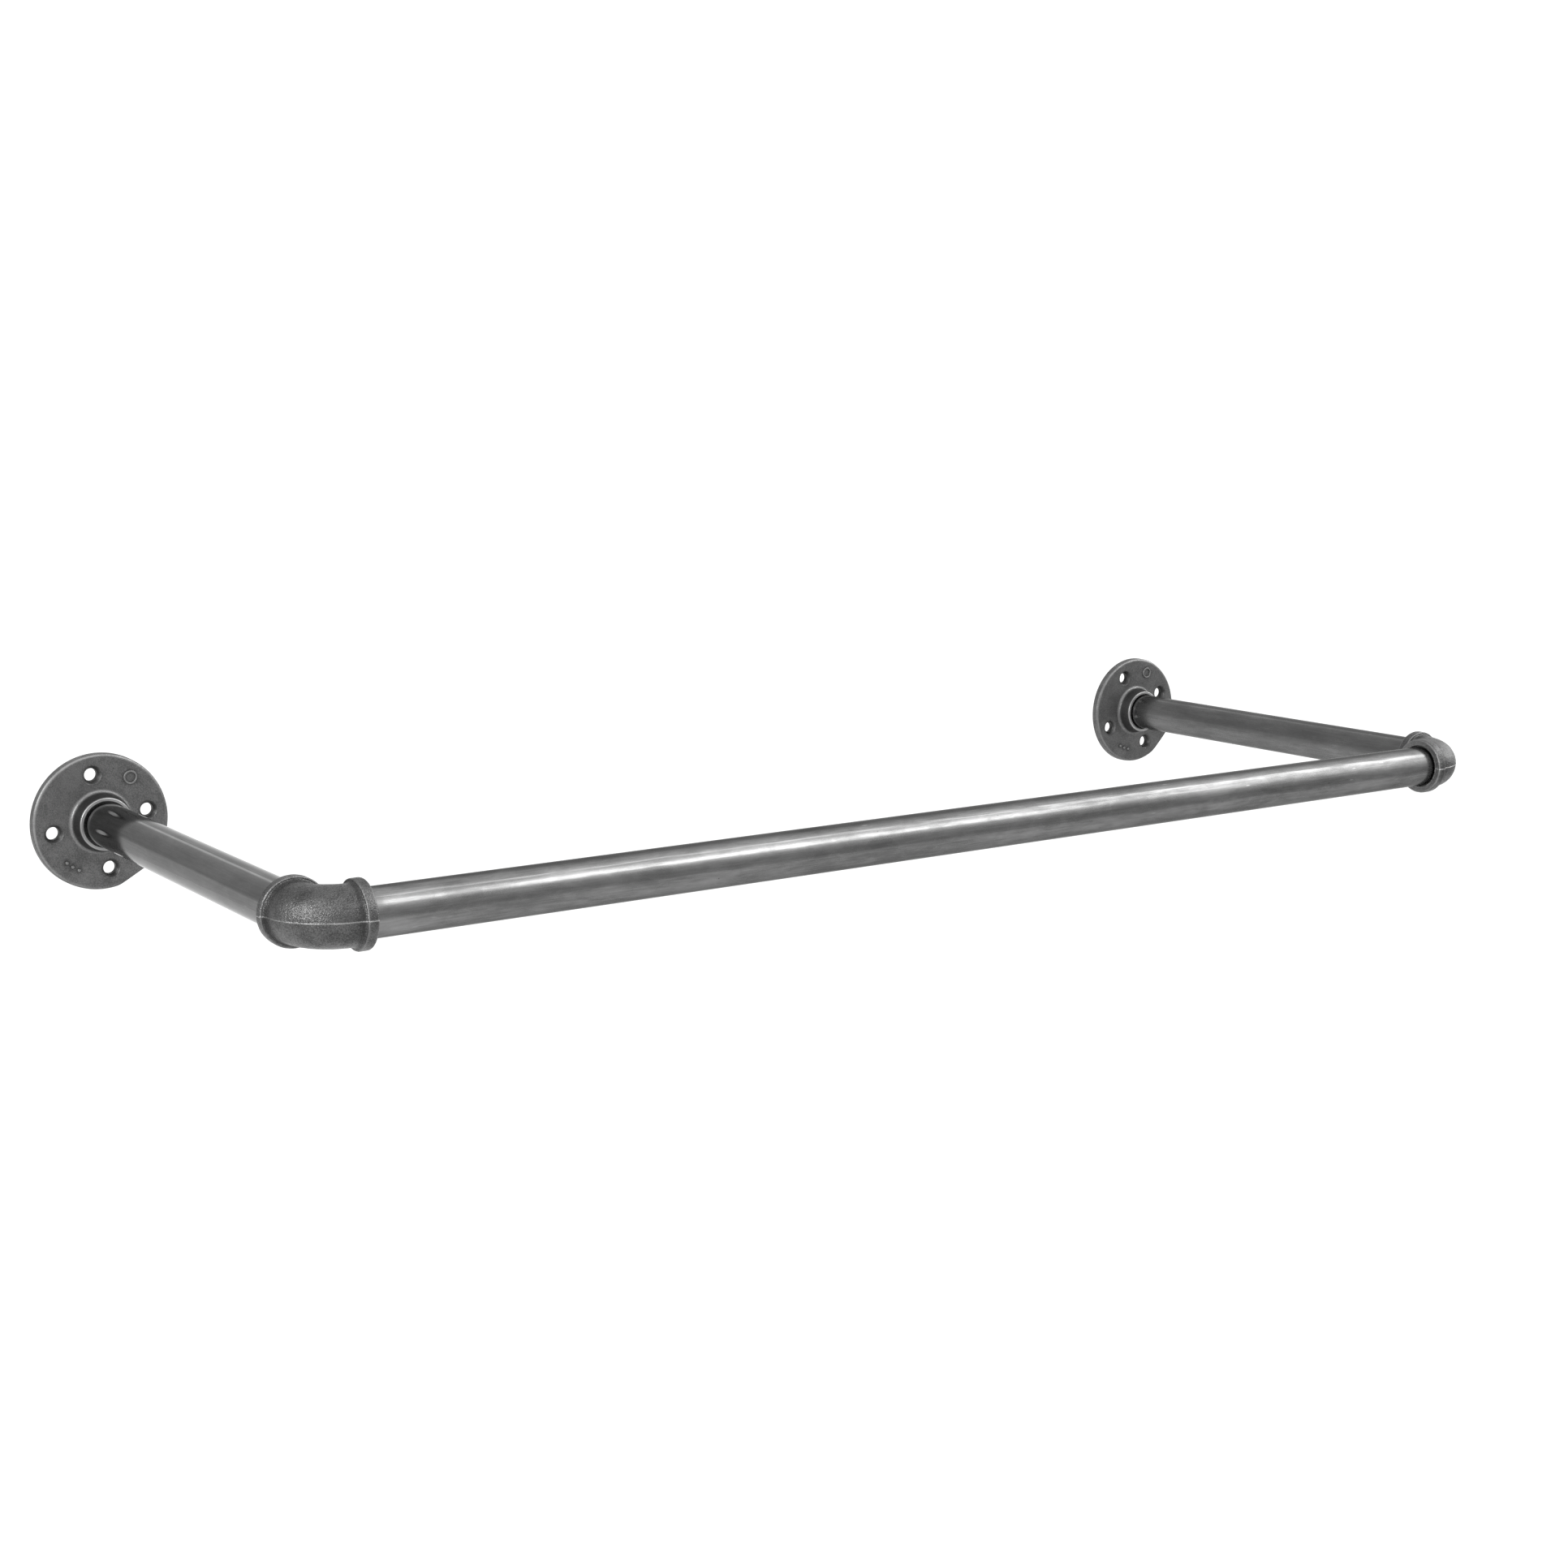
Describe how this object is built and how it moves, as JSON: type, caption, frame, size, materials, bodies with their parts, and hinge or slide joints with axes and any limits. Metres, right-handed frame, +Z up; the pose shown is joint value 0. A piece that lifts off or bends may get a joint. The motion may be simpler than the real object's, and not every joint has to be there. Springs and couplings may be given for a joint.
{
  "type": "curtain rod with brackets",
  "caption": "Straight pipe rail held parallel to a wall by two side pipes, screwed elbows and round wall flanges, so that it makes a flat U.",
  "frame": {"origin": "centre of the left flange's wall face, on the axis of the left side pipe", "axes": "+X along the wall and along the front rail, from the left flange to the right flange; +Y out of the flanges' wall faces, into the wall; +Z up. The rail stands at negative Y."},
  "size_m": [0.939, 0.3393, 0.084],
  "materials": {
    "pipe_steel": "raw mild steel pipe under clear lacquer, fairly glossy, with faint lengthwise marks",
    "flange_iron": "malleable cast iron, oiled, smooth with fine pits and bright worn edges",
    "elbow_iron": "malleable cast iron, coarse sand-cast skin with a moulding ridge"
  },
  "bodies": {
    "root": {"left_flange": "flange_iron", "right_flange": "flange_iron", "left_side_pipe": "pipe_steel", "right_side_pipe": "pipe_steel", "left_elbow": "elbow_iron", "right_elbow": "elbow_iron", "front_rail": "pipe_steel"}
  },
  "joints": []
}
